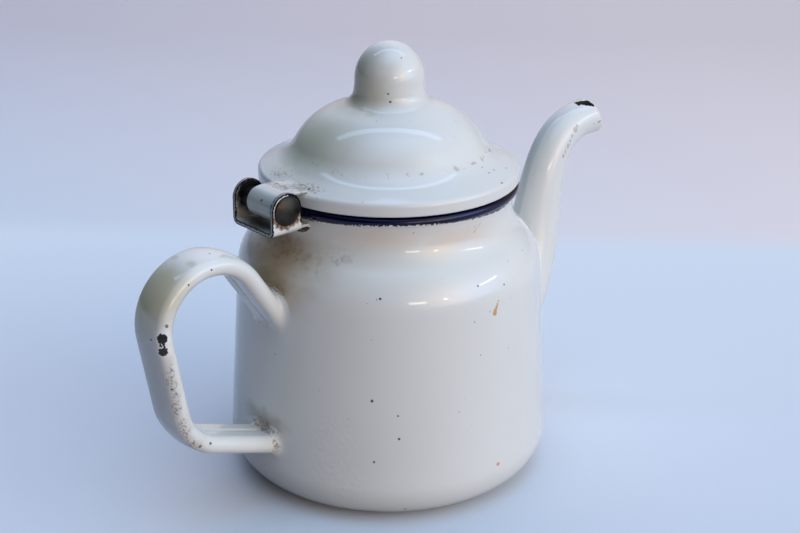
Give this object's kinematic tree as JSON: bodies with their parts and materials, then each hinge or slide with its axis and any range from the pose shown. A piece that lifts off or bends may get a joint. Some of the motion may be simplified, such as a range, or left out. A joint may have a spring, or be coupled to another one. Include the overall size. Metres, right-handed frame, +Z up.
{
  "type": "coffee pot",
  "caption": "Small enamelled-steel coffee pot with a gooseneck spout, a rolled strap handle and a domed lid hinged above the handle.",
  "frame": {"origin": "centre of the flat base, where the pot stands", "axes": "+Z up, +X towards the spout, -X towards the handle and the hinge"},
  "size_m": [0.1807, 0.1, 0.134],
  "materials": {
    "body_enamel": "glossy white vitreous enamel on steel, with a dark blue rim bead",
    "spout_enamel": "glossy white vitreous enamel on steel, chipped along the seam and mouth",
    "handle_enamel": "glossy white vitreous enamel on steel, a chip on the grip",
    "hinge_enamel": "glossy white vitreous enamel on steel, dark at its cut edges",
    "lid_enamel": "glossy white vitreous enamel on steel",
    "bare_steel": "dark oxidised bare steel"
  },
  "bodies": {
    "pot": {"base_pan": "body_enamel", "body": "body_enamel", "neck": "body_enamel", "spout_left": "spout_enamel", "spout_right": "spout_enamel", "handle": "handle_enamel", "hinge_bracket": "hinge_enamel", "hinge_pin": "bare_steel"},
    "lid": {"lid": "lid_enamel", "lid_leaf": "hinge_enamel", "lid_collar": "lid_enamel"}
  },
  "joints": [
    {"name": "lid_hinge", "type": "hinge", "parent": "pot", "child": "lid", "pos_m": [-0.046, 0, 0.0942], "axis": [0, -1, 0], "range_deg": [0, 162]}
  ]
}
